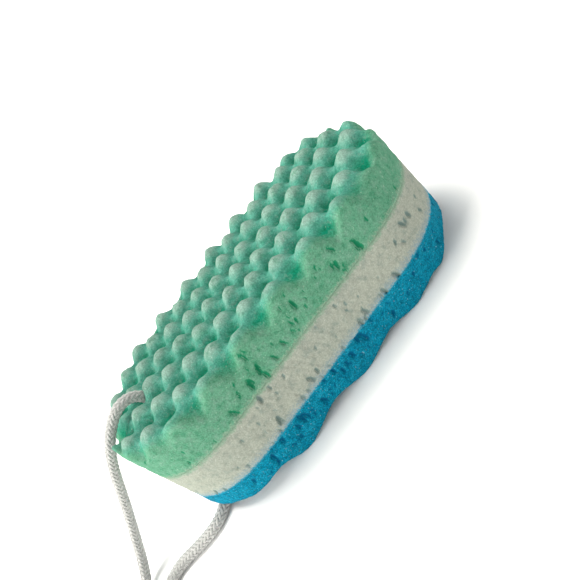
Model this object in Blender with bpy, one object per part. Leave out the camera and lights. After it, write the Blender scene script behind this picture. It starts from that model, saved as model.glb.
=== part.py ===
"""Three-layer foam bath and massage sponge with a braided hanging cord.

The sponge lies on its wavy blue side. X runs along its length, Y across it and Z up. The origin is
the middle of the sponge's footprint, on the surface that the sponge rests on. The cord goes down
through a hole near the -X end, and both of its strands meet in one overhand knot.
"""

import math

import bmesh
import bpy
import numpy as np
from mathutils import Vector

# Sponge outline: straight long sides and full, rounded ends.
LENGTH = 0.150
WIDTH = 0.0776
STRAIGHT_SIDE = 0.070
CORD_END_SHAPE = 2.4
FAR_END_SHAPE = 2.2
END_STEPS = 30

# Layer heights. Touching pieces keep GAP between them.
GAP = 0.0003
FILM = 0.0004
BLUE_TOP = 0.0133
WHITE_BOTTOM = BLUE_TOP + FILM + 2 * GAP
WHITE_TOP = 0.0304
GREEN_BOTTOM = WHITE_TOP + FILM + 2 * GAP
FILM_INSET = 0.0010

# Convoluted top: bumps on a square lattice that is turned 45 degrees to the length.
BUMP_PITCH = 0.0176
BUMP_MEAN = 0.0470
BUMP_AMPLITUDE = 0.0040
BUMP_START = (-0.0490, -0.0020)
BUMP_ROUNDNESS = 0.75
BUMP_FULLNESS = 0.20
GRID_PER_PITCH = 8
SHOULDER_WIDTH = 0.0050
SHOULDER_DROP = 0.0008
SHOULDER_BUMPS = 0.85

# The bumps wander a little off their lattice: how far, and the turns and starts of the waves that
# carry them, in radians per metre and in radians.
BUMP_SWAY = 0.0009
SWAY_X_TURNS = (83.0, 61.0)
SWAY_X_START = 1.3
SWAY_Y_TURNS = (74.0, 97.0)
SWAY_Y_STARTS = (0.4, 2.0)

# The cord holds the bumps flat where it crosses the end.
PRESS_CENTRE = (-0.0745, -0.0043)
PRESS_REACH = (0.0130, 0.0070)
PRESSED_HEIGHT = 0.0441

# Wavy underside: its crests and hollows along the length, three of them on the surface. On the
# cord's side of CORD_SIDE_X the crest fades out between the two values of CORD_SIDE_RISE.
CRESTS_AND_HOLLOWS = [
    (-0.0800, 0.0050), (-0.0640, 0.0048), (-0.0550, 0.0036), (-0.0430, 0.0048), (-0.0300, 0.0),
    (-0.0115, 0.0036), (0.0035, 0.0), (0.0195, 0.0027), (0.0325, 0.0), (0.0440, 0.0017),
    (0.0505, 0.0007), (0.0635, 0.0050), (0.0800, 0.0050),
]
CORD_SIDE_X = -0.0430
CORD_SIDE_RISE = (-0.0280, -0.0200)
WAVE_STEPS = 6
RISE_STEPS = 4

# Cutters reach past the piece that they cut, on every side.
CUTTER_BOTTOM = -0.010
CUTTER_TOP = 0.080
CUTTER_MARGIN = 0.002

# Hanging cord.
CORD_DIAMETER = 0.0045
CORD_SIDES = 3
CORD_SPACING = 0.0050
HOLE = Vector((-0.0545, -0.0013, 0.0))
HOLE_RADIUS = CORD_DIAMETER / 2 + GAP
HOLE_SIDES = 20
BEND_RADIUS = 0.0090
REST = CORD_DIAMETER / 2
BEND_START = REST + BEND_RADIUS
FLARE_STEPS = 6
FLARE_FOOT = (0.0100, 0.0015)
UPPER_JOIN = 0.0395
LOWER_JOIN = 0.0155

KNOT_CENTRE = Vector((-0.1180, -0.0288, 0.0046))
KNOT_SIZE = (0.0070, 0.0066, 0.0046)
KNOT_SEGMENTS = (20, 12)

UPPER_ROUTE = [
    (-0.0545, -0.0013, UPPER_JOIN),
    (-0.0545, -0.0013, 0.0435),
    (-0.0549, -0.0015, 0.0474),
    (-0.0566, -0.0021, 0.0509),
    (-0.0607, -0.0034, 0.0534),
    (-0.0674, -0.0043, 0.0524),
    (-0.0753, -0.0053, 0.0481),
    (-0.0830, -0.0053, 0.0409),
    (-0.0919, -0.0048, 0.0302),
    (-0.1000, -0.0046, 0.0206),
    (-0.1077, -0.0058, 0.0116),
    (-0.1125, -0.0080, 0.0062),
    (-0.1160, -0.0113, 0.0031),
    (-0.1182, -0.0160, REST),
    (-0.1186, -0.0216, REST),
]
LOWER_ROUTE = [
    (-0.05450, -0.00130, LOWER_JOIN),
    (-0.05450, -0.00130, 0.01300),
    (-0.05462, -0.00144, 0.01000),
    (-0.05524, -0.00225, 0.00675),
    (-0.05728, -0.00485, 0.00346),
    (-0.06020, -0.00850, REST),
    (-0.06550, -0.01560, REST),
    (-0.07060, -0.02110, REST),
    (-0.07550, -0.02380, REST),
    (-0.08230, -0.02430, REST),
    (-0.09010, -0.02310, REST),
    (-0.09790, -0.02180, REST),
    (-0.10450, -0.02310, REST),
    (-0.11100, -0.02600, REST),
]
LEFT_TAIL_ROUTE = [
    (-0.1253, -0.0311, 0.0027),
    (-0.1290, -0.0324, REST),
    (-0.1328, -0.0332, REST),
    (-0.1370, -0.0334, REST),
]
RIGHT_TAIL_ROUTE = [
    (-0.1196, -0.0363, 0.0027),
    (-0.1207, -0.0400, REST),
    (-0.1212, -0.0439, REST),
    (-0.1208, -0.0480, REST),
]

MATT = 0.9
COLOURS = {
    "mint_foam": (0.26, 0.62, 0.44),
    "cream_foam": (0.62, 0.60, 0.52),
    "blue_foam": (0.02, 0.32, 0.52),
    "clear_glue": (0.72, 0.78, 0.74),
    "braided_cord": (0.62, 0.62, 0.60),
}


def remove_everything():
    """Empty the scene without closing the file."""
    for item in list(bpy.data.objects):
        bpy.data.objects.remove(item, do_unlink=True)


def make_material(name):
    """A matt material for one kind of piece."""
    material = bpy.data.materials.new(name)
    material.use_nodes = True
    shader = material.node_tree.nodes["Principled BSDF"]
    shader.inputs["Base Color"].default_value = (*COLOURS[name], 1.0)
    shader.inputs["Roughness"].default_value = MATT
    shader.inputs["Metallic"].default_value = 0.0
    return material


def add_object(name, data, material=None):
    """Link a new object and give it its material."""
    item = bpy.data.objects.new(name, data)
    bpy.context.collection.objects.link(item)
    if material:
        item.data.materials.append(material)
    return item


def mesh_object(name, shape, material=None):
    """Turn a finished bmesh into an object with its faces pointing out."""
    bmesh.ops.recalc_face_normals(shape, faces=shape.faces)
    mesh = bpy.data.meshes.new(name)
    shape.to_mesh(mesh)
    shape.free()
    return add_object(name, mesh, material)


def hide_cutter(cutter):
    """Show a cutter as wire only, and keep it out of the model."""
    cutter.hide_render = True
    cutter.display_type = "WIRE"
    return cutter


def add_boolean(item, cutter, operation):
    """Cut an object with another one."""
    modifier = item.modifiers.new(operation.lower(), "BOOLEAN")
    modifier.operation = operation
    modifier.solver = "EXACT"
    modifier.object = cutter


def bulged(value, shape):
    """Turn a sine or cosine of a circle into that of a fuller end."""
    return math.copysign(abs(value) ** (2 / shape), value)


def outline(inset=0.0):
    """Points around the sponge, seen from above."""
    half_straight = STRAIGHT_SIDE / 2
    end_reach = LENGTH / 2 - half_straight - inset
    half_width = WIDTH / 2 - inset
    points = []
    for side, shape in ((1, FAR_END_SHAPE), (-1, CORD_END_SHAPE)):
        for step in range(END_STEPS + 1):
            angle = math.pi * (step / END_STEPS - 0.5)
            x = side * (half_straight + end_reach * bulged(math.cos(angle), shape))
            y = side * half_width * bulged(math.sin(angle), shape)
            points.append((x, y))
    return points


def edge_distance(x, y):
    """Roughly how far a point is inside the sponge's outline."""
    beyond = max(abs(x) - STRAIGHT_SIDE / 2, 0.0) / ((LENGTH - STRAIGHT_SIDE) / 2)
    across = abs(y) / (WIDTH / 2)
    shape = CORD_END_SHAPE if x < 0 else FAR_END_SHAPE
    reach = (beyond**shape + across**shape) ** (1 / shape)
    return (1.0 - reach) * WIDTH / 2


def eased(value):
    """Ease a share between 0 and 1 in and out."""
    value = min(max(value, 0.0), 1.0)
    return value * value * (3 - 2 * value)


def top_height(x, y):
    """Height of the convoluted surface, with its softened shoulder at the outline."""
    turn = 2 * math.pi / BUMP_PITCH
    sway_x = BUMP_SWAY * math.sin(SWAY_X_TURNS[0] * x)
    sway_x *= math.sin(SWAY_X_TURNS[1] * y + SWAY_X_START)
    sway_y = BUMP_SWAY * math.sin(SWAY_Y_TURNS[0] * x + SWAY_Y_STARTS[0])
    sway_y *= math.sin(SWAY_Y_TURNS[1] * y + SWAY_Y_STARTS[1])
    wave = math.cos(turn * (x + sway_x - BUMP_START[0]))
    wave *= math.cos(turn * (y + sway_y - BUMP_START[1]))
    wave += BUMP_FULLNESS * (math.sin(math.pi / 2 * wave) - wave)
    wave = 2 * ((1 + wave) / 2) ** BUMP_ROUNDNESS - 1
    inside = eased(edge_distance(x, y) / SHOULDER_WIDTH)
    strength = SHOULDER_BUMPS + (1 - SHOULDER_BUMPS) * inside
    height = BUMP_MEAN + BUMP_AMPLITUDE * wave * strength - SHOULDER_DROP * (1 - inside)
    along = (x - PRESS_CENTRE[0]) / PRESS_REACH[0]
    across = (y - PRESS_CENTRE[1]) / PRESS_REACH[1]
    pressed = eased(1 - along * along - across * across)
    return height * (1 - pressed) + PRESSED_HEIGHT * pressed


def underside_height(x, y):
    """Height of the wavy underside above the surface that it rests on."""
    pairs = zip(CRESTS_AND_HOLLOWS, CRESTS_AND_HOLLOWS[1:])
    (start, low), (end, high) = next(pair for pair in pairs if x <= pair[1][0])
    share = (1 - math.cos(math.pi * (x - start) / (end - start))) / 2
    height = low * (1 - share) + high * share
    if x >= CORD_SIDE_X:
        return height
    fade_start, fade_end = CORD_SIDE_RISE
    clear = eased((y - fade_start) / (fade_end - fade_start))
    raised = max(height, CRESTS_AND_HOLLOWS[0][1])
    return height + (raised - height) * clear


def prism(name, points, bottom, top, material=None):
    """Extrude a flat outline straight up."""
    shape = bmesh.new()
    base = shape.faces.new([shape.verts.new((x, y, bottom)) for x, y in points])
    raised = bmesh.ops.extrude_face_region(shape, geom=[base])
    moved = [part for part in raised["geom"] if isinstance(part, bmesh.types.BMVert)]
    bmesh.ops.translate(shape, verts=moved, vec=(0.0, 0.0, top - bottom))
    return mesh_object(name, shape, material)


def turned(name, profile, centre, sides):
    """Turn a closed radius-and-height profile about a vertical axis."""
    shape = bmesh.new()
    rings = []
    for radius, height in profile:
        ring = []
        for step in range(sides):
            angle = 2 * math.pi * step / sides
            place = Vector((radius * math.cos(angle), radius * math.sin(angle), height))
            ring.append(shape.verts.new(place + centre))
        rings.append(ring)
    for low, high in zip(rings, rings[1:]):
        for step in range(sides):
            after = (step + 1) % sides
            shape.faces.new((low[step], low[after], high[after], high[step]))
    shape.faces.new(rings[0])
    shape.faces.new(rings[-1])
    return hide_cutter(mesh_object(name, shape))


def height_block(name, xs, ys, height_at, flat, material):
    """A block between a surface on a grid and a flat face."""
    shape = bmesh.new()
    rows = [[shape.verts.new((x, y, height_at(x, y))) for y in ys] for x in xs]
    for near, far in zip(rows, rows[1:]):
        for count in range(len(ys) - 1):
            shape.faces.new((near[count], far[count], far[count + 1], near[count + 1]))
    rim = [row[0] for row in rows] + rows[-1][1:]
    rim += [row[-1] for row in reversed(rows[:-1])] + rows[0][-2:0:-1]
    foot = [shape.verts.new((vert.co.x, vert.co.y, flat)) for vert in rim]
    for count, vert in enumerate(rim):
        after = (count + 1) % len(rim)
        shape.faces.new((vert, foot[count], foot[after], rim[after]))
    shape.faces.new(foot)
    bmesh.ops.triangulate(shape, faces=shape.faces)
    return mesh_object(name, shape, material)


def green_block(material):
    """The convoluted surface on a grid that follows the bumps, closed by a flat bottom."""
    step = BUMP_PITCH / GRID_PER_PITCH
    across_x = math.ceil(LENGTH / 2 / step) + 1
    across_y = math.ceil(WIDTH / 2 / step) + 1
    xs = [BUMP_START[0] % step + step * count for count in range(-across_x - 1, across_x + 1)]
    ys = [BUMP_START[1] % step + step * count for count in range(-across_y - 1, across_y + 1)]
    return height_block("green_massage_layer", xs, ys, top_height, GREEN_BOTTOM, material)


def blue_block(material):
    """The wavy underside, closed by a flat top."""
    xs = [CRESTS_AND_HOLLOWS[0][0]]
    for (start, _), (end, _) in zip(CRESTS_AND_HOLLOWS, CRESTS_AND_HOLLOWS[1:]):
        xs += [start + (end - start) * step / WAVE_STEPS for step in range(1, WAVE_STEPS + 1)]
    side = WIDTH / 2 + CUTTER_MARGIN
    fade_start, fade_end = CORD_SIDE_RISE
    fade = [fade_start + (fade_end - fade_start) * step / RISE_STEPS for step in range(RISE_STEPS + 1)]
    ys = [-side, *fade, side]
    return height_block("blue_wave_layer", xs, ys, underside_height, BLUE_TOP, material)


def flared_hole():
    """The hole through the blue layer, whose lower edge is rounded by the bent cord."""
    edge = BEND_RADIUS - HOLE_RADIUS
    profile = [FLARE_FOOT]
    for step in range(FLARE_STEPS + 1):
        angle = math.pi / 2 * (1 - step / FLARE_STEPS)
        radius = BEND_RADIUS - edge * math.cos(angle)
        profile.append((radius, BEND_START - edge * math.sin(angle)))
    profile.append((HOLE_RADIUS, BLUE_TOP + CUTTER_MARGIN))
    return turned("cord_hole_flare_cutter", profile, HOLE, HOLE_SIDES)


def smooth_points(route, spacing):
    """Points on the natural cubic spline through the route, at even steps."""
    knots = np.array(route, dtype=float)
    steps = np.linalg.norm(np.diff(knots, axis=0), axis=1)
    place = np.concatenate(([0.0], np.cumsum(steps)))
    count = len(knots)
    matrix = np.eye(count)
    bends = np.zeros_like(knots)
    for row in range(1, count - 1):
        before, after = steps[row - 1], steps[row]
        matrix[row, row - 1:row + 2] = (before, 2 * (before + after), after)
        rise = (knots[row + 1] - knots[row]) / after
        bends[row] = 6 * (rise - (knots[row] - knots[row - 1]) / before)
    bends = np.linalg.solve(matrix, bends)
    result = []
    for along in np.linspace(0.0, place[-1], max(3, round(place[-1] / spacing) + 1)):
        piece = min(int(np.searchsorted(place, along, side="right")) - 1, count - 2)
        width = steps[piece]
        left = (place[piece + 1] - along) / width
        right = 1.0 - left
        curve = left * knots[piece] + right * knots[piece + 1]
        curve = curve + ((left**3 - left) * bends[piece]
                         + (right**3 - right) * bends[piece + 1]) * width**2 / 6
        result.append(Vector(curve))
    return result


def cord_piece(name, route, material, axis):
    """A round stretch of cord, hung on the swing axis."""
    curve = bpy.data.curves.new(name, "CURVE")
    curve.dimensions = "3D"
    curve.bevel_depth = CORD_DIAMETER / 2
    curve.bevel_resolution = CORD_SIDES
    curve.use_fill_caps = True
    spline = curve.splines.new("POLY")
    points = smooth_points(route, CORD_SPACING)
    spline.points.add(len(points) - 1)
    for point, place in zip(spline.points, points):
        point.co = (*(place - HOLE), 1.0)
    spline.use_smooth = True
    item = add_object(name, curve, material)
    item.parent = axis
    return item


def build_sponge():
    """The three foam layers and the two films of glue between them."""
    guide = hide_cutter(prism("outline_cutter", outline(), CUTTER_BOTTOM, CUTTER_TOP))
    hole = [(HOLE_RADIUS, WHITE_BOTTOM - CUTTER_MARGIN), (HOLE_RADIUS, CUTTER_TOP)]
    straight = turned("cord_hole_cutter", hole, HOLE, HOLE_SIDES)
    flare = flared_hole()

    green = green_block(make_material("mint_foam"))
    add_boolean(green, guide, "INTERSECT")
    add_boolean(green, straight, "DIFFERENCE")

    core = (WHITE_BOTTOM, WHITE_TOP)
    white = prism("white_core_layer", outline(), *core, make_material("cream_foam"))
    add_boolean(white, straight, "DIFFERENCE")

    blue = blue_block(make_material("blue_foam"))
    add_boolean(blue, guide, "INTERSECT")
    add_boolean(blue, flare, "DIFFERENCE")

    glue = make_material("clear_glue")
    films = (("glue_film_lower", BLUE_TOP + GAP), ("glue_film_upper", WHITE_TOP + GAP))
    for name, bottom in films:
        film = prism(name, outline(FILM_INSET), bottom, bottom + FILM, glue.copy())
        add_boolean(film, straight, "DIFFERENCE")


def build_cord():
    """The cord, in the stretches between its hole and its knot, and the knot with its two tails."""
    axis = bpy.data.objects.new("cord_swing_axis", None)
    axis.location = HOLE
    bpy.context.collection.objects.link(axis)

    inner = [(*HOLE.xy, LOWER_JOIN + GAP), (*HOLE.xy, UPPER_JOIN - GAP)]
    middle = tuple((Vector(inner[0]) + Vector(inner[1])) / 2)
    routes = {
        "cord_through_sponge": [inner[0], middle, inner[1]],
        "cord_upper_strand": UPPER_ROUTE,
        "cord_lower_strand": LOWER_ROUTE,
        "cord_tail_left": LEFT_TAIL_ROUTE,
        "cord_tail_right": RIGHT_TAIL_ROUTE,
    }
    braid = make_material("braided_cord")
    for name, route in routes.items():
        cord_piece(name, route, braid.copy(), axis)

    shape = bmesh.new()
    bmesh.ops.create_uvsphere(shape, u_segments=KNOT_SEGMENTS[0], v_segments=KNOT_SEGMENTS[1],
                              radius=1.0)
    bmesh.ops.scale(shape, verts=shape.verts, vec=KNOT_SIZE)
    bmesh.ops.translate(shape, verts=shape.verts, vec=KNOT_CENTRE - HOLE)
    knot = mesh_object("cord_knot", shape, braid.copy())
    knot.data.shade_smooth()
    knot.parent = axis


remove_everything()
build_sponge()
build_cord()
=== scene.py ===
"""Looks of the layered bath sponge: porous foam layers, a braided cord and plain studio light."""

import math

import bmesh
import bpy
import numpy as np
from mathutils import Matrix, Vector


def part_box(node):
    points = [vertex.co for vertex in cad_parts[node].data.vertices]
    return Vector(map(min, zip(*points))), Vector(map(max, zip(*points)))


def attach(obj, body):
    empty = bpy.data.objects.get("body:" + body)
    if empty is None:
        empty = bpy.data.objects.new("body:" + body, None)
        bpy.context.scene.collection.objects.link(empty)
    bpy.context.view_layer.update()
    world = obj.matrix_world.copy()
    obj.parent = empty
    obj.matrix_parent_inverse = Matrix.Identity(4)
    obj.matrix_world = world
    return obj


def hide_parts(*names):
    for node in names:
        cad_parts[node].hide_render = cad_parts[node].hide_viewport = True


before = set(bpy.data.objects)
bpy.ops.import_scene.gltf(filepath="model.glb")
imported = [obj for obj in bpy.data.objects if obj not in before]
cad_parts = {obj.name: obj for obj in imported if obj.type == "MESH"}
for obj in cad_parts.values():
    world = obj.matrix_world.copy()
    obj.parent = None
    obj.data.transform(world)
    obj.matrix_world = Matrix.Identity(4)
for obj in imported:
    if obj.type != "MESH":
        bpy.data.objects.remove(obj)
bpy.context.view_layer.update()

SPONGE = "sponge"
LOOP = "cord_loop"

# The sponge's own sizes, read from the frame, and its outline's shape, as in part.py.
BLUE_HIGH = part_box("blue_wave_layer")[1]
WHITE_LOW, WHITE_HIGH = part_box("white_core_layer")
GREEN_LOW, GREEN_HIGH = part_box("green_massage_layer")
HALF_LENGTH = BLUE_HIGH.x
HALF_WIDTH = BLUE_HIGH.y
HALF_STRAIGHT = 0.035
CORD_END_SHAPE = 2.4
FAR_END_SHAPE = 2.2
LOWER_SEAM = (BLUE_HIGH.z + WHITE_LOW.z) / 2
UPPER_SEAM = (WHITE_HIGH.z + GREEN_LOW.z) / 2

# The foam layers here reach past their CAD faces, round the glue films, to this near each seam.
SEAM_GAP = 0.000003

# The convoluted face and the wavy underside, as the CAD has them, but for the dip under the cord,
# which is a little narrower and shallower here.
BUMP_PITCH = 0.0176
BUMP_MEAN = 0.0470
BUMP_AMPLITUDE = 0.0040
BUMP_START = (-0.0490, -0.0020)
BUMP_ROUNDNESS = 0.75
BUMP_FULLNESS = 0.20
BUMP_SWAY = 0.0009
SWAY_X_TURNS = (83.0, 61.0)
SWAY_X_START = 1.3
SWAY_Y_TURNS = (74.0, 97.0)
SWAY_Y_STARTS = (0.4, 2.0)
SHOULDER_WIDTH = 0.0050
SHOULDER_DROP = 0.0008
SHOULDER_BUMPS = 0.85
PRESS_CENTRE = (-0.0745, -0.0043)
PRESS_REACH = (0.0130, 0.0064)
PRESSED_HEIGHT = 0.0446
CRESTS_AND_HOLLOWS = [
    (-0.0800, 0.0050), (-0.0640, 0.0048), (-0.0550, 0.0036), (-0.0430, 0.0048), (-0.0300, 0.0),
    (-0.0115, 0.0036), (0.0035, 0.0), (0.0195, 0.0027), (0.0325, 0.0), (0.0440, 0.0017),
    (0.0505, 0.0007), (0.0635, 0.0050), (0.0800, 0.0050),
]
CORD_SIDE_X = -0.0430
CORD_SIDE_RISE = (-0.0280, -0.0200)

# The cord, with the routes that its CAD solids follow.
CORD = 0.0045
REST = CORD / 2
HOLE = (-0.0545, -0.0013)
UPPER_JOIN = 0.0395
LOWER_JOIN = 0.0155
UPPER_ROUTE = [
    (-0.0545, -0.0013, UPPER_JOIN),
    (-0.0545, -0.0013, 0.0435),
    (-0.0549, -0.0015, 0.0474),
    (-0.0566, -0.0021, 0.0509),
    (-0.0607, -0.0034, 0.0534),
    (-0.0674, -0.0043, 0.0524),
    (-0.0753, -0.0053, 0.0481),
    (-0.0830, -0.0053, 0.0409),
    (-0.0919, -0.0048, 0.0302),
    (-0.1000, -0.0046, 0.0206),
    (-0.1077, -0.0058, 0.0116),
    (-0.1125, -0.0080, 0.0062),
    (-0.1160, -0.0113, 0.0031),
    (-0.1182, -0.0160, REST),
    (-0.1186, -0.0216, REST),
]
LOWER_ROUTE = [
    (-0.05450, -0.00130, LOWER_JOIN),
    (-0.05450, -0.00130, 0.01300),
    (-0.05462, -0.00144, 0.01000),
    (-0.05524, -0.00225, 0.00675),
    (-0.05728, -0.00485, 0.00346),
    (-0.06020, -0.00850, REST),
    (-0.06550, -0.01560, REST),
    (-0.07060, -0.02110, REST),
    (-0.07550, -0.02380, REST),
    (-0.08230, -0.02430, REST),
    (-0.09010, -0.02310, REST),
    (-0.09790, -0.02180, REST),
    (-0.10450, -0.02310, REST),
    (-0.11100, -0.02600, REST),
]
LEFT_TAIL_ROUTE = [
    (-0.1253, -0.0311, 0.0027),
    (-0.1290, -0.0324, REST),
    (-0.1328, -0.0332, REST),
    (-0.1370, -0.0334, REST),
]
RIGHT_TAIL_ROUTE = [
    (-0.1196, -0.0363, 0.0027),
    (-0.1207, -0.0400, REST),
    (-0.1212, -0.0439, REST),
    (-0.1208, -0.0480, REST),
]


# ---------------------------------------------------------------- camera


def make_camera():
    """The photo's view, rolled by as much as the photo shows the sponge tilted."""
    azimuth = math.radians(-0.71)
    elevation = math.radians(27.5)
    roll = math.radians(-52.78)
    distance = 0.206
    target = Vector((0.0, -0.0008, 0.025))
    back = Vector((
        math.sin(azimuth) * math.cos(elevation),
        -math.cos(azimuth) * math.cos(elevation),
        math.sin(elevation),
    ))
    right = Vector((math.cos(azimuth), math.sin(azimuth), 0.0))
    up = back.cross(right)
    across = right * math.cos(roll) + up * math.sin(roll)
    upward = up * math.cos(roll) - right * math.sin(roll)
    data = bpy.data.cameras.new("camera")
    data.sensor_width = 36.0
    data.lens = 32.28
    data.shift_x = 0.0288
    data.shift_y = 0.0362
    data.clip_start = 0.005
    data.clip_end = 50.0
    camera = bpy.data.objects.new("camera", data)
    bpy.context.collection.objects.link(camera)
    place = Matrix((across, upward, back)).transposed().to_4x4()
    place.translation = target + back * distance
    camera.matrix_world = place
    bpy.context.scene.camera = camera


# ---------------------------------------------------------------- node helpers


class Nodes:
    """A short way to write a material's node tree."""

    def __init__(self, name):
        self.material = bpy.data.materials.new(name)
        self.material.use_nodes = True
        self.tree = self.material.node_tree
        self.shader = self.tree.nodes["Principled BSDF"]

    def add(self, kind, **values):
        """A node, with values for its settings or its sockets."""
        node = self.tree.nodes.new("ShaderNode" + kind)
        for key, value in values.items():
            if key in node.inputs:
                self.put(value, node.inputs[key])
            else:
                setattr(node, key, value)
        return node

    def put(self, value, socket):
        """Set a socket, or link another one to it."""
        if isinstance(value, bpy.types.NodeSocket):
            self.tree.links.new(value, socket)
        else:
            socket.default_value = value

    def math(self, operation, first, second=0.0):
        node = self.add("Math", operation=operation)
        self.put(first, node.inputs[0])
        self.put(second, node.inputs[1])
        return node.outputs[0]

    def ramp(self, value, low, high, to_low=0.0, to_high=1.0):
        node = self.add("MapRange", interpolation_type="SMOOTHSTEP")
        for socket, item in zip(node.inputs, (value, low, high, to_low, to_high)):
            self.put(item, socket)
        return node.outputs[0]

    def mix(self, factor, first, second, blend="MIX"):
        node = self.add("Mix", data_type="RGBA", blend_type=blend)
        self.put(factor, node.inputs[0])
        self.put(first, node.inputs[6])
        self.put(second, node.inputs[7])
        return node.outputs[2]

    def noise(self, place, scale, detail=2.0, roughness=0.5):
        node = self.add("TexNoise", Vector=place, Scale=scale, Detail=detail, Roughness=roughness)
        return node.outputs["Fac"]

    def cells(self, place, scale, feature="F1", output="Distance"):
        node = self.add("TexVoronoi", Vector=place, Scale=scale, feature=feature)
        return node.outputs[output]

    def attribute(self, name):
        return self.add("Attribute", attribute_name=name).outputs["Fac"]

    def bump(self, height, distance, strength=1.0, normal=None):
        node = self.add("Bump", Height=height, Distance=distance, Strength=strength)
        if normal is not None:
            self.put(normal, node.inputs["Normal"])
        return node.outputs["Normal"]

    def finish(self, colour, roughness, normal, **constants):
        """Join the results to the shader; what is the same all over is set on its sockets."""
        self.put(colour, self.shader.inputs["Base Color"])
        self.put(roughness, self.shader.inputs["Roughness"])
        self.put(normal, self.shader.inputs["Normal"])
        for key, value in constants.items():
            self.shader.inputs[key.replace("_", " ")].default_value = value
        return self.material


def rgb(red, green, blue):
    return (red, green, blue, 1.0)


# How many features of each kind there are in a metre of foam.
CELL_SCALE = 1900.0
GRAIN_SCALE = 1500.0
CELL_GLINT_SCALE = 1250.0
MOTTLE_SCALE = 420.0
CLOUD_SCALE = 60.0
# Colour of the painted highlight specks.
CELL_GLINT = rgb(0.62, 0.66, 0.60)
SEAM_FADE = 1.6


def foam_material(name, shades, hollow, seams, grit):
    """Open-cell foam: fine cells, a mottle, painted highlight specks, coarse pores with painted
    shade inside, and dye that bleeds over the seams; on the green, painted shade in the valleys and
    painted light on the crowns.
    """
    painted_valley_shade, middle, crown_light_and_mottle, side_shade = shades
    made = Nodes(name)
    place = made.add("TexCoord").outputs["Object"]
    height = made.add("SeparateXYZ", Vector=place).outputs["Z"]
    painted_height_shade = made.attribute("painted_height_shade")
    cell = made.cells(place, CELL_SCALE)
    grain = made.noise(place, GRAIN_SCALE, 3.0, 0.6)
    mottle = made.noise(place, MOTTLE_SCALE, 3.0, 0.65)
    cloud = made.noise(place, CLOUD_SCALE, 2.0)
    # Painted shade in the green's valleys and painted light on its crowns, by height; the cream and
    # blue keep one even level.
    colour = made.mix(made.ramp(painted_height_shade, 0.20, 0.60), painted_valley_shade, middle)
    colour = made.mix(made.ramp(painted_height_shade, 0.60, 0.97), colour, crown_light_and_mottle)
    colour = made.mix(made.attribute("side"), colour, side_shade)
    colour = made.mix(made.ramp(mottle, 0.48, 0.70, 0.0, 0.35), colour, crown_light_and_mottle)
    colour = made.mix(made.ramp(mottle, 0.50, 0.30, 0.0, 0.40), colour, hollow)
    colour = made.mix(made.ramp(cloud, 0.40, 0.75, 0.0, 0.12), colour, hollow)
    # Painted highlights: small light specks that stand in for glints on the foam's cells.
    cell_glint = made.noise(place, CELL_GLINT_SCALE, 1.0)
    colour = made.mix(made.ramp(cell_glint, 0.68, 0.76, 0.0, 0.16), colour, CELL_GLINT)
    for seam, reach, other, jagged, sway in seams:
        away = made.math("ABSOLUTE", made.math("SUBTRACT", height, seam))
        wobble = made.noise(place, jagged, 2.0, 0.65)
        wobble = made.ramp(wobble, 0.36, 0.64, -sway * reach, sway * reach)
        near = made.ramp(made.math("ADD", away, wobble), 0.0, SEAM_FADE * reach, 1.0, 0.0)
        colour = made.mix(near, colour, other)
    shade = made.math("MULTIPLY", made.ramp(grain, 0.32, 0.62, 1.0 - 0.24 * grit, 1.0 + 0.10 * grit),
                      made.ramp(cell, 0.15, 0.75, 1.0 + 0.10 * grit, 1.0 - 0.16 * grit))
    grey = made.add("CombineColor", Red=shade, Green=shade, Blue=shade).outputs[0]
    colour = made.mix(1.0, colour, grey, "MULTIPLY")
    # Painted shade inside the coarse pores, deepest at their middles.
    colour = made.mix(made.attribute("pore"), colour, hollow)
    normal = made.bump(cell, 0.00020 * grit, 0.6)
    normal = made.bump(grain, 0.00022 * grit, 0.5, normal)
    normal = made.bump(mottle, 0.00030, 0.5, normal)
    return made.finish(colour, made.ramp(grain, 0.3, 0.7, 0.86, 1.0), normal,
                       Specular_IOR_Level=0.06)


def cord_material():
    """Soft white synthetic yarn with fine filaments, darker in random patches."""
    made = Nodes("braided_cord_look")
    place = made.add("TexCoord").outputs["Object"]
    along = made.attribute("along")
    strand = made.attribute("strand")
    filament = made.add("CombineXYZ", X=along, Y=strand).outputs[0]
    fibre = made.noise(filament, 26.0, 3.0, 0.6)
    dark_patches = made.noise(place, 900.0, 3.0, 0.6)
    colour = made.mix(made.ramp(fibre, 0.30, 0.70), rgb(0.21, 0.215, 0.205), rgb(0.62, 0.62, 0.605))
    # Darker in random patches.
    colour = made.mix(made.ramp(dark_patches, 0.52, 0.68, 0.0, 0.40), colour, rgb(0.13, 0.135, 0.13))
    return made.finish(colour, made.ramp(fibre, 0.3, 0.7, 0.45, 0.65),
                       made.bump(fibre, 0.00008, 0.6), Sheen_Weight=0.3, Sheen_Roughness=0.5)


def glue_material():
    """A thin clouded film of set glue, pricked by the foam's cells."""
    made = Nodes("glue_film_look")
    place = made.add("TexCoord").outputs["Object"]
    cell = made.cells(place, 900.0)
    colour = made.mix(cell, rgb(0.50, 0.62, 0.62), rgb(0.80, 0.84, 0.80))
    return made.finish(colour, made.ramp(cell, 0.1, 0.6, 0.25, 0.5), made.bump(cell, 0.00010, 0.5))


def floor_material():
    """A plain pale board with a very faint grain."""
    made = Nodes("pale_floor")
    place = made.add("TexCoord").outputs["Object"]
    grain = made.noise(place, 60.0, 3.0)
    colour = made.mix(grain, rgb(0.93, 0.93, 0.93), rgb(0.96, 0.96, 0.96))
    return made.finish(colour, 0.7, made.bump(grain, 0.0001, 0.05))


# ---------------------------------------------------------------- cord


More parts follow.
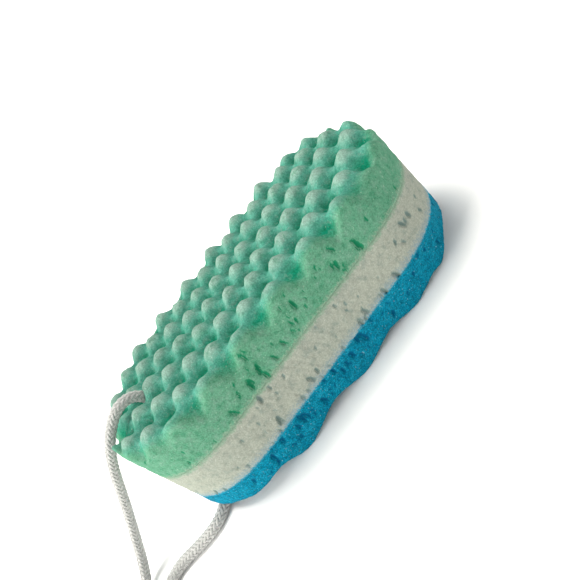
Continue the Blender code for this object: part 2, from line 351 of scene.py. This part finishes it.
def smooth_points(route, spacing):
    """Points on the natural cubic spline through the route, at even steps."""
    knots = np.array(route, dtype=float)
    steps = np.linalg.norm(np.diff(knots, axis=0), axis=1)
    place = np.concatenate(([0.0], np.cumsum(steps)))
    count = len(knots)
    matrix = np.eye(count)
    bends = np.zeros_like(knots)
    for row in range(1, count - 1):
        before, after = steps[row - 1], steps[row]
        matrix[row, row - 1:row + 2] = (before, 2 * (before + after), after)
        rise = (knots[row + 1] - knots[row]) / after
        bends[row] = 6 * (rise - (knots[row] - knots[row - 1]) / before)
    bends = np.linalg.solve(matrix, bends)
    along = np.linspace(0.0, place[-1], max(3, round(place[-1] / spacing) + 1))
    piece = np.clip(np.searchsorted(place, along, side="right") - 1, 0, count - 2)
    width = steps[piece][:, None]
    left = (place[piece + 1] - along)[:, None] / width
    right = 1.0 - left
    curve = left * knots[piece] + right * knots[piece + 1]
    cubic = (left**3 - left) * bends[piece] + (right**3 - right) * bends[piece + 1]
    return curve + cubic * width**2 / 6


def frames_along(points):
    """Two directions square to the line at each of its points, with no twist between them."""
    tangent = np.gradient(points, axis=0)
    tangent /= np.linalg.norm(tangent, axis=1)[:, None]
    start = np.cross(tangent[0], (0.3, 0.9, 0.2))
    start /= np.linalg.norm(start)
    sides = [start]
    for direction in tangent[1:]:
        side = sides[-1] - direction * (sides[-1] @ direction)
        sides.append(side / np.linalg.norm(side))
    sides = np.array(sides)
    return sides, np.cross(tangent, sides)


class MeshParts:
    """Collects closed tubes into one mesh."""

    def __init__(self):
        self.points = []
        self.faces = []
        self.along = []
        self.strand = []
        self.count = 0

    def tube(self, rings, along, strand):
        """Rings of points in order, joined by quads and capped at both ends."""
        rows, sides = rings.shape[:2]
        index = np.arange(rows * sides).reshape(rows, sides) + self.count
        after = np.roll(index, -1, axis=1)
        quads = np.stack([index[:-1], after[:-1], after[1:], index[1:]], axis=-1)
        self.faces += quads.reshape(-1, 4).tolist()
        self.faces += [index[0][::-1].tolist(), index[-1].tolist()]
        self.points.append(rings.reshape(-1, 3))
        self.along.append(np.repeat(along, sides))
        self.strand.append(np.tile(strand, rows))
        self.count += rows * sides

    def build(self, name, material):
        mesh = bpy.data.meshes.new(name)
        mesh.from_pydata(np.concatenate(self.points).tolist(), [], self.faces)
        for key, values in (("along", self.along), ("strand", self.strand)):
            layer = mesh.attributes.new(key, "FLOAT", "POINT")
            layer.data.foreach_set("value", np.concatenate(values).astype(np.float32))
        mesh.shade_smooth()
        mesh.materials.append(material)
        item = bpy.data.objects.new(name, mesh)
        bpy.context.collection.objects.link(item)
        return item


YARNS = 8
LAY = 0.0150
YARN_WIDTH = 0.00057
YARN_THICK = 0.00036
YARN_SIDES = 8
CROSSING_RISE = 0.00025
CORD_STEP = 0.00030
YARN_TEXTURE = 40.0
CORE_SINK = 0.4
CORE_SIDES = 16
CORE_EVERY = 3
BEAD_RADIUS = 0.0021
BEAD_TIP = 0.08
JOIN_GAP = 0.0002


def add_braid(parts, points, diameter=CORD):
    """Sixteen flat yarns, eight each way, over two and under two, round a plain core."""
    side, other = frames_along(points)
    along = np.concatenate(([0.0], np.cumsum(np.linalg.norm(np.diff(points, axis=0), axis=1))))
    middle = diameter / 2 - YARN_THICK - CROSSING_RISE
    corner = np.linspace(0.0, 2 * math.pi, YARN_SIDES, endpoint=False)
    for way in (1, -1):
        for yarn in range(YARNS):
            turn = 2 * math.pi * (way * along / LAY + yarn / YARNS)
            crossing = 2 * YARNS * along / LAY
            phase = math.pi * (crossing + 2 * yarn - 0.5) / 2
            if way < 0:
                phase = math.pi * (2 * yarn - crossing - 0.5) / 2
            radius = middle + way * CROSSING_RISE * np.cos(phase)
            out = side * np.cos(turn)[:, None] + other * np.sin(turn)[:, None]
            centre = points + out * radius[:, None]
            tangent = np.gradient(centre, axis=0)
            tangent /= np.linalg.norm(tangent, axis=1)[:, None]
            wide = np.cross(tangent, out)
            wide /= np.linalg.norm(wide, axis=1)[:, None]
            rings = (centre[:, None] + YARN_WIDTH * np.cos(corner)[None, :, None] * wide[:, None]
                     + YARN_THICK * np.sin(corner)[None, :, None] * out[:, None])
            strand = np.abs(corner / math.pi - 1.0) + yarn * 3.0 + way
            parts.tube(rings, along * YARN_TEXTURE, strand)
    core = middle - YARN_THICK * CORE_SINK
    circle = np.linspace(0.0, 2 * math.pi, CORE_SIDES, endpoint=False)
    some = slice(None, None, CORE_EVERY)
    rings = points[some, None] + core * (np.cos(circle)[None, :, None] * side[some, None]
                                         + np.sin(circle)[None, :, None] * other[some, None])
    parts.tube(rings, along[some] * YARN_TEXTURE, circle)


def add_bead(parts, centre):
    """The rounded bead of a melted cord end."""
    rows = np.linspace(BEAD_TIP, math.pi - BEAD_TIP, 9)
    circle = np.linspace(0.0, 2 * math.pi, 20, endpoint=False)
    rings = np.stack([
        centre[0] + BEAD_RADIUS * np.sin(rows)[:, None] * np.cos(circle),
        centre[1] + BEAD_RADIUS * np.sin(rows)[:, None] * np.sin(circle),
        centre[2] - BEAD_RADIUS * np.cos(rows)[:, None] * np.ones_like(circle),
    ], axis=-1)
    parts.tube(rings, rows, circle)


def make_strand(name, route, material, melted=False):
    """One stretch of the cord, in place of its CAD solid."""
    points = smooth_points(route, CORD_STEP)
    parts = MeshParts()
    add_braid(parts, points)
    if melted:
        add_bead(parts, points[-1])
    item = parts.build(name + "_braid", material)
    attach(item, LOOP)
    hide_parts(name)
    return item, points


# The knot, whose cord is drawn a little thinner than the rest, as if pulled tight.
KNOT_AXIS = (-0.78, -0.62, 0.0)
KNOT_CORD = 0.0040
KNOT_HALF = 0.0062
KNOT_SPREAD = 0.0020
WRAP_TURNS = 2.4
WRAP_LENGTH = 0.0088
WRAP_RADII = (0.0050, 0.0026)
TUCK_TURN = 1.6
TUCK_SHARES = (0.45, 0.55)


def make_knot(material):
    """The look of an overhand knot: two short runs side by side and a wrap of 2.4 turns."""
    low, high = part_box("cord_knot")
    centre = np.array((low + high) / 2)
    axis = np.array(KNOT_AXIS)
    axis /= np.linalg.norm(axis)
    wide = np.array((-axis[1], axis[0], 0.0))
    upward = np.array((0.0, 0.0, 1.0))
    parts = MeshParts()
    for shift in (-1, 1):
        run = np.linspace(-KNOT_HALF, KNOT_HALF, 40)[:, None]
        line = centre + run * axis + shift * KNOT_SPREAD * wide
        add_braid(parts, line, KNOT_CORD)
    turn = np.linspace(0.0, 2 * math.pi * WRAP_TURNS, 260)
    tuck = np.clip(np.minimum(turn, turn[-1] - turn) / TUCK_TURN, 0.0, 1.0)
    tuck = TUCK_SHARES[0] + TUCK_SHARES[1] * tuck * tuck * (3 - 2 * tuck)
    run = (turn / (2 * math.pi * WRAP_TURNS) - 0.5) * WRAP_LENGTH
    line = (centre + run[:, None] * axis
            + (tuck * WRAP_RADII[0] * np.cos(turn))[:, None] * wide
            + (tuck * WRAP_RADII[1] * np.sin(turn))[:, None] * upward)
    steps = np.concatenate(([0.0], np.cumsum(np.linalg.norm(np.diff(line, axis=0), axis=1))))
    even = np.arange(0.0, steps[-1], CORD_STEP)
    line = np.stack([np.interp(even, steps, line[:, k]) for k in range(3)], axis=1)
    add_braid(parts, line, KNOT_CORD)
    item = parts.build("cord_knot_braid", material)
    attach(item, LOOP)
    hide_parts("cord_knot")
    return item


def make_cords():
    material = cord_material()
    inner = [(*HOLE, LOWER_JOIN + JOIN_GAP), (*HOLE, (LOWER_JOIN + UPPER_JOIN) / 2),
             (*HOLE, UPPER_JOIN - JOIN_GAP)]
    make_strand("cord_through_sponge", inner, material)
    upper, upper_line = make_strand("cord_upper_strand", UPPER_ROUTE, material)
    lower, lower_line = make_strand("cord_lower_strand", LOWER_ROUTE, material)
    left, _ = make_strand("cord_tail_left", LEFT_TAIL_ROUTE, material, melted=True)
    right, _ = make_strand("cord_tail_right", RIGHT_TAIL_ROUTE, material, melted=True)
    knot = make_knot(material)


# ---------------------------------------------------------------- foam


# The grid on which the foam is sampled. The cream layer's is finer by this share.
FULL_STEP = 0.00056
CREAM_SHARE = 0.85
RIM_REACH = 1.5

# Each roughness: how high, then its seed, its longest wave and its shortest.
WALL_RIPPLE = 0.00012
WALL_WAVES = (11, 0.0060, 0.0016)
TOP_RIPPLE = 0.00022
TOP_WAVES = (5, 0.007, 0.002)

# The cord's hole is straight here. The CAD's also widens at its lower end.
HOLE_RADIUS = 0.0023

# How round the edges are. The green edge gets crisper towards the end with the cord.
TOP_ROUNDING = 0.0046
CRISP_START = -0.0560
CRISP_LENGTH = 0.0100
CRISP_LOSS = 0.0034
SEAM_ROUNDING = 0.0001
UNDERSIDE_ROUNDING = 0.0015

# Coarse pores: seed, lowest and highest place, how many, width, height, and pull to the bottom.
GREEN_PORES = (21, 0.0325, 0.0455, 120, 0.00056, 0.0015, 1.5)
CREAM_PORES = (22, 0.0145, 0.0290, 140, 0.00055, 0.0013, 1.9)
BLUE_PORES = (23, 0.0060, 0.0130, 120, 0.00052, 0.0012, 1.0)
PORE_OVAL = (1.3, 1.6)
PORE_LEAN = 0.9
PORE_DEPTH = 1.3
PORE_MARGIN = 0.0008
PORE_RIM = 0.0003
PORE_SHADE = (1.25, 0.3)

# Where the green foam's painted shade by height (shade in the valleys, light on the crowns) and its
# side wall colour begin and how fast they grow.
PAINTED_SHADE_START = 0.0430
PAINTED_SHADE_HEIGHT = 0.0080
SIDE_SPAN = 0.0030
SIDE_SHARE = 1.3
SIDE_TOP = 0.0500
PLAIN_SHADE_LEVEL = 0.60


def edge_distance(x, y):
    """Roughly how far a point is inside the sponge's outline."""
    beyond = np.maximum(np.abs(x) - HALF_STRAIGHT, 0.0) / (HALF_LENGTH - HALF_STRAIGHT)
    across = np.abs(y) / HALF_WIDTH
    shape = np.where(x < 0, CORD_END_SHAPE, FAR_END_SHAPE)
    return (1.0 - (beyond**shape + across**shape)**(1 / shape)) * HALF_WIDTH


def top_height(x, y):
    """The convoluted face, softened towards the outline."""
    turn = 2 * math.pi / BUMP_PITCH
    sway_x = (BUMP_SWAY * np.sin(SWAY_X_TURNS[1] * y + SWAY_X_START)
              * np.sin(SWAY_X_TURNS[0] * x))
    sway_y = (BUMP_SWAY * np.sin(SWAY_Y_TURNS[0] * x + SWAY_Y_STARTS[0])
              * np.sin(SWAY_Y_TURNS[1] * y + SWAY_Y_STARTS[1]))
    wave = (np.cos(turn * (x + sway_x - BUMP_START[0]))
            * np.cos(turn * (y + sway_y - BUMP_START[1])))
    wave += BUMP_FULLNESS * (np.sin(math.pi / 2 * wave) - wave)
    wave = 2 * ((1 + wave) / 2)**BUMP_ROUNDNESS - 1
    inside = np.clip(edge_distance(x, y) / SHOULDER_WIDTH, 0.0, 1.0)
    inside = inside * inside * (3 - 2 * inside)
    strength = SHOULDER_BUMPS + (1 - SHOULDER_BUMPS) * inside
    height = BUMP_MEAN + BUMP_AMPLITUDE * wave * strength - SHOULDER_DROP * (1 - inside)
    share = pressed_share(x, y)
    return height * (1 - share) + PRESSED_HEIGHT * share


def pressed_share(x, y):
    """How far the cord flattens the bumps where it crosses the end."""
    along = (x - PRESS_CENTRE[0]) / PRESS_REACH[0]
    across = (y - PRESS_CENTRE[1]) / PRESS_REACH[1]
    near = np.clip(1 - (along * along + across * across), 0.0, 1.0)
    return near * near * (3 - 2 * near)


def underside_height(x, y):
    """The wavy underside; its last crest fades out where the cord lies under it."""
    places, heights = np.array(CRESTS_AND_HOLLOWS).T
    piece = np.clip(np.searchsorted(places, x) - 1, 0, len(places) - 2)
    share = (x - places[piece]) / (places[piece + 1] - places[piece])
    share = (1 - np.cos(math.pi * share)) / 2
    height = heights[piece] * (1 - share) + heights[piece + 1] * share
    low, high = CORD_SIDE_RISE
    clear = np.clip((y - low) / (high - low), 0.0, 1.0)
    clear = clear * clear * (3 - 2 * clear)
    raised = np.maximum(height, heights[0])
    return np.where(x < CORD_SIDE_X, height + (raised - height) * clear, height)


def ripples(x, y, z, seed, longest, shortest, count=14):
    """A smooth random roughness about 0, mostly between -2 and 2, the same on each run."""
    draw = np.random.default_rng(seed)
    total = np.zeros(np.broadcast(x, y, z).shape, np.float32)
    for _ in range(count):
        direction = draw.normal(size=3)
        direction /= np.linalg.norm(direction)
        wave = 2 * math.pi / (shortest * (longest / shortest) ** draw.random())
        angle = wave * (direction[0] * x + direction[1] * y + direction[2] * z)
        total += np.sin(angle + draw.random() * 2 * math.pi)
    return total / math.sqrt(count)


def smooth_max(first, second, width):
    """The larger of two fields, with a rounded join."""
    blend = np.maximum(width - np.abs(first - second), 0.0) / width
    return np.maximum(first, second) + blend * blend * width / 4


def surface_nets(field, low, step):
    """Quads on the zero level of a sampled field that is negative inside."""
    shape = tuple(count - 1 for count in field.shape)
    total = np.zeros(shape + (3,), np.float32)
    hits = np.zeros(shape, np.float32)
    inside = field < 0
    quads = []
    crossings = []
    for axis in range(3):
        near = [slice(None)] * 3
        far = [slice(None)] * 3
        near[axis] = slice(0, -1)
        far[axis] = slice(1, None)
        start, end = field[tuple(near)], field[tuple(far)]
        cross = inside[tuple(near)] != inside[tuple(far)]
        crossings.append(cross)
        with np.errstate(divide="ignore", invalid="ignore"):
            share = np.where(cross, start / (start - end), 0.0)
        others = [other for other in range(3) if other != axis]
        for first in (0, 1):
            for second in (0, 1):
                part = [slice(None)] * 3
                part[others[0]] = slice(first, shape[others[0]] + first)
                part[others[1]] = slice(second, shape[others[1]] + second)
                hit = cross[tuple(part)]
                hits += hit
                total[..., axis] += np.where(hit, share[tuple(part)], 0.0)
                total[..., others[0]] += hit * first
                total[..., others[1]] += hit * second
    used = hits > 0
    number = np.full(shape, -1, np.int64)
    number[used] = np.arange(used.sum())
    corner = np.argwhere(used)
    points = low + (corner + total[used] / hits[used][:, None]) * step
    for axis in range(3):
        one, two = [other for other in range(3) if other != axis]
        where = np.argwhere(crossings[axis])
        keep = (where[:, one] > 0) & (where[:, two] > 0)
        keep &= (where[:, one] < shape[one]) & (where[:, two] < shape[two])
        where = where[keep]
        ring = []
        for back_one, back_two in ((1, 1), (0, 1), (0, 0), (1, 0)):
            cell = where.copy()
            cell[:, one] -= back_one
            cell[:, two] -= back_two
            ring.append(number[tuple(cell.T)])
        quad = np.stack(ring, axis=1)
        outward = inside[tuple(where.T)] == (axis != 1)
        quad[~outward] = quad[~outward][:, ::-1]
        quads.append(quad)
    return points, np.concatenate(quads), corner


def pore_list(seed, low_z, high_z, count, width, height, bias):
    """Coarse pores spread round the side wall: centre, outward direction, radii and lean."""
    draw = np.random.default_rng(seed)
    pores = []
    for _ in range(count):
        angle = draw.random() * 2 * math.pi
        x = HALF_LENGTH * PORE_OVAL[0] * math.cos(angle)
        y = HALF_WIDTH * PORE_OVAL[1] * math.sin(angle)
        if draw.random() < 0.5:
            x = (draw.random() - 0.5) * 2 * HALF_STRAIGHT
            y = HALF_WIDTH * (1 if draw.random() < 0.5 else -1)
        straight = np.clip(x, -HALF_STRAIGHT, HALF_STRAIGHT)
        beyond = abs(x - straight) / (HALF_LENGTH - HALF_STRAIGHT)
        across = abs(y) / HALF_WIDTH
        shape = CORD_END_SHAPE if x < 0 else FAR_END_SHAPE
        reach = (beyond**shape + across**shape)**(1 / shape)
        x = straight + (x - straight) / reach
        y = y / reach
        z = low_z + (high_z - low_z) * draw.random() ** bias
        out = np.array((x - straight, y, 0.0))
        out /= np.linalg.norm(out)
        grow = 0.55 + 0.95 * draw.random() ** 1.8
        lean = (draw.random() - 0.5) * PORE_LEAN
        pores.append((np.array((x, y, z)), out, width * grow, height * grow, lean))
    return pores


def carve_pores(field, painted_pore_shade, axes, pores):
    """Take a lens-shaped hollow out of the field for each pore, with painted shade inside it,
    deepest at its middle.
    """
    xs, ys, zs = axes
    for centre, out, width, height, lean in pores:
        reach = 1.6 * max(width * PORE_DEPTH, height) + PORE_MARGIN
        spans = []
        for values, middle in zip(axes, centre):
            near = np.searchsorted(values, middle - reach)
            far = np.searchsorted(values, middle + reach)
            spans.append(slice(near, far))
        if any(span.start >= span.stop for span in spans):
            continue
        x = xs[spans[0]][:, None, None] - centre[0]
        y = ys[spans[1]][None, :, None] - centre[1]
        z = zs[spans[2]][None, None, :] - centre[2]
        across = -out[1] * x + out[0] * y
        inward = out[0] * x + out[1] * y
        across = across - lean * z
        size = np.sqrt((across / width)**2 + (z / height)**2
                       + (inward / (width * PORE_DEPTH))**2)
        lens = (1.0 - size) * width
        window = tuple(spans)
        field[window] = smooth_max(field[window], lens, PORE_RIM)
        # Painted shade inside the pore, strongest at its middle.
        shade = np.clip(PORE_SHADE[0] - size, 0.0, PORE_SHADE[1]) / PORE_SHADE[1]
        painted_pore_shade[window] = np.maximum(painted_pore_shade[window], shade)


def foam_mesh(name, field, painted_pore_shade, looks, low, step, material, levels):
    """Turn a field into a closed mesh whose flat faces meet the wall in a crisp edge."""
    points, quads, corner = surface_nets(field, low, step)
    level_of = np.zeros(len(points), int)
    for number, level in enumerate(levels, 1):
        flat = corner[:, 2] == int((level - low[2]) / step)
        points[flat, 2] = level
        level_of[flat] = number
        rim = flat & (edge_distance(points[:, 0], points[:, 1]) < RIM_REACH * step)
        for _ in range(2):
            x, y, z = points[rim].T
            straight = np.clip(x, -HALF_STRAIGHT, HALF_STRAIGHT)
            away = np.stack([x - straight, y], axis=1)
            away /= np.linalg.norm(away, axis=1)[:, None]
            points[rim, :2] -= away * wall_field(x, y, z)[:, None]
    mesh = bpy.data.meshes.new(name)
    mesh.from_pydata(points.tolist(), [], quads.tolist())
    painted_height_shade, side = looks(points)
    values = {"pore": painted_pore_shade[tuple(corner.T)], "painted_height_shade": painted_height_shade, "side": side}
    for key, value in values.items():
        layer = mesh.attributes.new(key, "FLOAT", "POINT")
        layer.data.foreach_set("value", value.astype(np.float32))
    smooth = (level_of[quads] == 0).any(axis=1)
    mesh.polygons.foreach_set("use_smooth", smooth)
    mesh.materials.append(material)
    merge_flat_faces(mesh)
    item = bpy.data.objects.new(name, mesh)
    bpy.context.collection.objects.link(item)
    return item


def merge_flat_faces(mesh):
    """Make each flat seam two large faces, one on either side of the cord hole."""
    shape = bmesh.new()
    shape.from_mesh(mesh)
    groups = {}
    for face in shape.faces:
        if not face.smooth:
            place = face.verts[0].co
            near_end = face.calc_center_median().x < HOLE[0]
            groups.setdefault((round(place.z, 5), near_end), []).append(face)
    for faces in groups.values():
        bmesh.ops.dissolve_faces(shape, faces=faces, use_verts=True)
    shape.to_mesh(mesh)
    shape.free()


def wall_field(x, y, z):
    """Positive outside the side wall, which is a little uneven."""
    return -edge_distance(x, y) + WALL_RIPPLE * ripples(x, y, z, *WALL_WAVES)


def axes_for(low_z, high_z, step):
    margin = 3 * step
    xs = np.arange(-HALF_LENGTH - margin, HALF_LENGTH + margin, step, dtype=np.float32)
    ys = np.arange(-HALF_WIDTH - margin, HALF_WIDTH + margin, step, dtype=np.float32)
    zs = np.arange(low_z - margin, high_z + margin, step, dtype=np.float32)
    return xs, ys, zs


def foam_field(axes, top, bottom, round_top, round_bottom):
    """The solid of one layer, with a straight hole for the cord."""
    x = axes[0][:, None, None]
    y = axes[1][None, :, None]
    z = axes[2][None, None, :]
    field = smooth_max(wall_field(x, y, z), z - top, round_top)
    field = smooth_max(field, bottom - z, round_bottom)
    hole = HOLE_RADIUS - np.hypot(x - HOLE[0], y - HOLE[1])
    return np.maximum(field, hole + 0 * z)


def make_foam():
    step = FULL_STEP
    green_layer(step)
    white_layer(step * CREAM_SHARE)
    blue_layer(step)


def place_layer(item, node):
    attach(item, SPONGE)
    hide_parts(node)


# Each foam's shades: deep (painted shade in the green's valleys), middle, crown (painted light on
# the green's crowns, and the light tone of each mottle) and side wall.
GREEN_SHADES = (rgb(0.006, 0.225, 0.130), rgb(0.070, 0.265, 0.200), rgb(0.200, 0.318, 0.265),
                rgb(0.100, 0.270, 0.172))
CREAM_SHADES = (rgb(0.255, 0.290, 0.240), rgb(0.298, 0.322, 0.272), rgb(0.365, 0.385, 0.325),
                rgb(0.298, 0.322, 0.272))
BLUE_SHADES = (rgb(0.000, 0.135, 0.215), rgb(0.002, 0.195, 0.300), rgb(0.020, 0.300, 0.430),
               rgb(0.002, 0.195, 0.300))
# Each foam's dark mottle tone, which is also the painted shade inside its coarse pores.
GREEN_PORE_SHADE_AND_MOTTLE = rgb(0.008, 0.150, 0.070)
CREAM_PORE_SHADE_AND_MOTTLE = rgb(0.135, 0.190, 0.175)
BLUE_PORE_SHADE_AND_MOTTLE = rgb(0.000, 0.075, 0.155)
GREEN_BLEED = rgb(0.190, 0.300, 0.218)
BLUE_BLEED = rgb(0.050, 0.290, 0.400)
BLUE_HAZE = rgb(0.225, 0.300, 0.320)

# Dye near each seam: its height, its reach, its colour, how fine its edge is and how uneven.
GREEN_SEAMS = [(UPPER_SEAM, 0.0013, GREEN_BLEED, 900.0, 0.5)]
CREAM_SEAMS = [(UPPER_SEAM, 0.0011, GREEN_BLEED, 900.0, 0.5),
               (LOWER_SEAM, 0.0024, BLUE_HAZE, 1500.0, 0.5),
               (LOWER_SEAM, 0.0005, BLUE_BLEED, 1500.0, 0.8)]
BLUE_SEAMS = [(LOWER_SEAM, 0.0003, BLUE_BLEED, 1500.0, 0.8)]


# The cream and blue foams: one even level of the painted shade by height, which gives their middle
# colour, and no side wall colour.
def no_side(points):
    return np.full(len(points), PLAIN_SHADE_LEVEL), np.zeros(len(points))


def green_layer(step):
    axes = axes_for(UPPER_SEAM, GREEN_HIGH.z, step)
    x, y = axes[0][:, None, None], axes[1][None, :, None]
    top = top_height(x, y) + TOP_RIPPLE * ripples(x, y, 0.0, *TOP_WAVES)
    bottom = UPPER_SEAM + SEAM_GAP
    crisp = np.clip((CRISP_START - axes[0]) / CRISP_LENGTH, 0.0, 1.0)[:, None, None]
    rounding = TOP_ROUNDING - CRISP_LOSS * crisp
    field = foam_field(axes, top, bottom, rounding, SEAM_ROUNDING)
    painted_pore_shade = np.zeros(field.shape, np.float32)
    carve_pores(field, painted_pore_shade, axes, pore_list(*GREEN_PORES))

    def looks(points):
        # Painted shade by height: 0 in the valleys, 1 on the crowns.
        painted_height_shade = np.clip((points[:, 2] - PAINTED_SHADE_START) / PAINTED_SHADE_HEIGHT, 0.0, 1.0)
        inward = edge_distance(points[:, 0], points[:, 1]) / SIDE_SPAN
        side = np.clip(SIDE_SHARE - inward, 0.0, 1.0)
        side *= np.clip((SIDE_TOP - points[:, 2]) / SIDE_SPAN, 0.0, 1.0)
        return painted_height_shade, side

    low = np.array([axis[0] for axis in axes])
    material = foam_material("green_foam_look", GREEN_SHADES, GREEN_PORE_SHADE_AND_MOTTLE, GREEN_SEAMS, 0.75)
    item = foam_mesh("green_convoluted_foam", field, painted_pore_shade, looks, low, step, material, [bottom])
    place_layer(item, "green_massage_layer")


def white_layer(step):
    axes = axes_for(LOWER_SEAM, UPPER_SEAM, step)
    bottom, top = LOWER_SEAM + SEAM_GAP, UPPER_SEAM - SEAM_GAP
    field = foam_field(axes, top, bottom, SEAM_ROUNDING, SEAM_ROUNDING)
    painted_pore_shade = np.zeros(field.shape, np.float32)
    carve_pores(field, painted_pore_shade, axes, pore_list(*CREAM_PORES))
    low = np.array([axis[0] for axis in axes])
    material = foam_material("cream_foam_look", CREAM_SHADES, CREAM_PORE_SHADE_AND_MOTTLE, CREAM_SEAMS, 0.50)
    item = foam_mesh("cream_core_foam", field, painted_pore_shade, no_side, low, step, material, [bottom, top])
    place_layer(item, "white_core_layer")


def blue_layer(step):
    axes = axes_for(0.0, LOWER_SEAM, step)
    top = LOWER_SEAM - SEAM_GAP
    bottom = underside_height(axes[0][:, None, None], axes[1][None, :, None])
    field = foam_field(axes, top, bottom, SEAM_ROUNDING, UNDERSIDE_ROUNDING)
    painted_pore_shade = np.zeros(field.shape, np.float32)
    carve_pores(field, painted_pore_shade, axes, pore_list(*BLUE_PORES))
    low = np.array([axis[0] for axis in axes])
    material = foam_material("blue_foam_look", BLUE_SHADES, BLUE_PORE_SHADE_AND_MOTTLE, BLUE_SEAMS, 1.5)
    item = foam_mesh("blue_wavy_foam", field, painted_pore_shade, no_side, low, step, material, [top])
    place_layer(item, "blue_wave_layer")


def make_films():
    look = glue_material()
    for name in ("glue_film_upper", "glue_film_lower"):
        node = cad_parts[name]
        for slot in node.material_slots:
            slot.material = look


# ---------------------------------------------------------------- stage


FLAT_RADIUS = 1.3
CURVE_RADIUS = 0.5
CURVE_STEPS = 12
WALL_TOP = (1.8, 1.3)
FLOOR_SIDES = 96
WORLD_COLOUR = rgb(0.94, 0.99, 1.0)
WORLD_STRENGTH = 0.29
LIGHT_COLOUR = (1.0, 0.97, 0.92)

# Each light: name, place, size and power.
KEY_LIGHT = ("key", (-0.30, 0.40, 1.45), 0.9, 34.0)
FILL_LIGHT = ("fill", (-1.55, -0.30, 0.30), 0.7, 31.0)


def make_stage():
    """A round white floor that curves up into a wall, and soft light."""
    look = floor_material()
    profile = [(0.001, 0.0), (0.4, 0.0), (0.8, 0.0)]
    for step in range(CURVE_STEPS + 1):
        angle = math.radians(90 * step / CURVE_STEPS)
        profile.append((FLAT_RADIUS + CURVE_RADIUS * math.sin(angle),
                        CURVE_RADIUS * (1 - math.cos(angle))))
    profile.append(WALL_TOP)
    count = FLOOR_SIDES
    circle = np.linspace(0.0, 2 * math.pi, count, endpoint=False)
    points = [(radius * math.cos(angle), radius * math.sin(angle), height)
              for radius, height in profile for angle in circle]
    faces = []
    for row in range(len(profile) - 1):
        for step in range(count):
            after = (step + 1) % count
            faces.append((row * count + step, row * count + after,
                          (row + 1) * count + after, (row + 1) * count + step))
    faces.append(tuple(reversed(range(count))))
    mesh = bpy.data.meshes.new("floor")
    mesh.from_pydata(points, [], faces)
    mesh.shade_smooth()
    mesh.materials.append(look)
    floor = bpy.data.objects.new("floor", mesh)
    bpy.context.collection.objects.link(floor)
    world = bpy.data.worlds.new("studio")
    world.use_nodes = True
    back = world.node_tree.nodes["Background"]
    back.inputs["Color"].default_value = WORLD_COLOUR
    back.inputs["Strength"].default_value = WORLD_STRENGTH
    bpy.context.scene.world = world
    bpy.context.scene.view_settings.view_transform = "Standard"
    add_light(*KEY_LIGHT)
    add_light(*FILL_LIGHT)


def add_light(name, place, size, power):
    data = bpy.data.lights.new(name, "AREA")
    data.size = size
    data.energy = power
    data.color = LIGHT_COLOUR
    lamp = bpy.data.objects.new(name, data)
    lamp.location = place
    lamp.rotation_euler = (-Vector(place)).to_track_quat("-Z", "Y").to_euler()
    bpy.context.collection.objects.link(lamp)


def main():
    make_camera()
    make_cords()
    make_foam()
    make_films()
    make_stage()


main()
